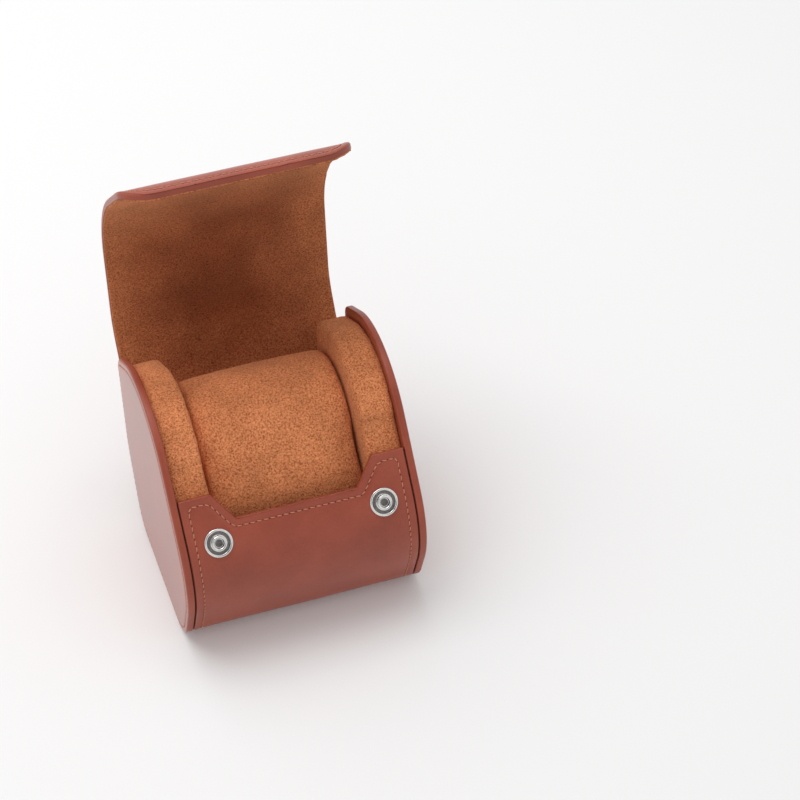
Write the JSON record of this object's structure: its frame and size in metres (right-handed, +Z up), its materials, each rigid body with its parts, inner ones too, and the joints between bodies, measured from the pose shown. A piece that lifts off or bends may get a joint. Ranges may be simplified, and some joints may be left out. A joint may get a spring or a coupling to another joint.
{
  "type": "watch travel case",
  "caption": "Barrel-shaped leather travel case for one wristwatch, with padded end bolsters, a lift-out suede cushion and a folding flap that snaps on the front.",
  "frame": {"origin": "on the flat underside, midway between the two end panels and midway between the front of the panels and the closed flap's corner at the back", "axes": "+X to the right as seen from the front, +Y to the back where the flap is hinged, +Z up"},
  "size_m": [0.088, 0.111, 0.1623],
  "materials": {
    "leather": "satin",
    "suede": "matte",
    "board": "matte",
    "filling": "matte",
    "nickel": "polished"
  },
  "bodies": {
    "case": {"outer_wrap": "leather", "wrap_board": "board", "wrap_lining": "suede", "left_end_cover": "leather", "left_end_board": "board", "right_end_cover": "leather", "right_end_board": "board", "left_bolster": "suede", "right_bolster": "suede", "left_stud": "nickel", "right_stud": "nickel", "left_stud_rivet": "nickel", "right_stud_rivet": "nickel"},
    "flap_back": {"flap_back_leather": "leather", "flap_back_board": "board", "flap_back_lining": "suede"},
    "flap_top": {"flap_top_leather": "leather", "flap_top_board": "board", "flap_top_lining": "suede"},
    "flap_lip": {"flap_lip_leather": "leather", "flap_lip_board": "board", "flap_lip_lining": "suede", "left_socket": "nickel", "right_socket": "nickel", "left_socket_cap": "nickel", "right_socket_cap": "nickel"},
    "cushion": {"cushion_cover": "suede", "cushion_core": "filling"}
  },
  "joints": [
    {"name": "flap_hinge", "type": "hinge", "parent": "case", "child": "flap_back", "pos_m": [0, 0.03668, 0.02806], "axis": [1, 0, 0], "range_deg": [-25, 23]},
    {"name": "back_crease", "type": "hinge", "parent": "flap_back", "child": "flap_top", "pos_m": [0, 0.0606, 0.06537], "axis": [1, 0, 0], "range_deg": [-60.88, 56.01]},
    {"name": "front_crease", "type": "hinge", "parent": "flap_top", "child": "flap_lip", "pos_m": [0, 0.05946, 0.12288], "axis": [1, 0, 0], "range_deg": [-18.49, 17.01]},
    {"name": "cushion_lift", "type": "slide", "parent": "case", "child": "cushion", "axis": [0, 0, 1], "range_m": [0, 0.084]}
  ],
  "couplings": [
    {"joint": "back_crease", "follows": "flap_hinge", "ratio": 2.4348},
    {"joint": "front_crease", "follows": "flap_hinge", "ratio": 0.73913}
  ]
}
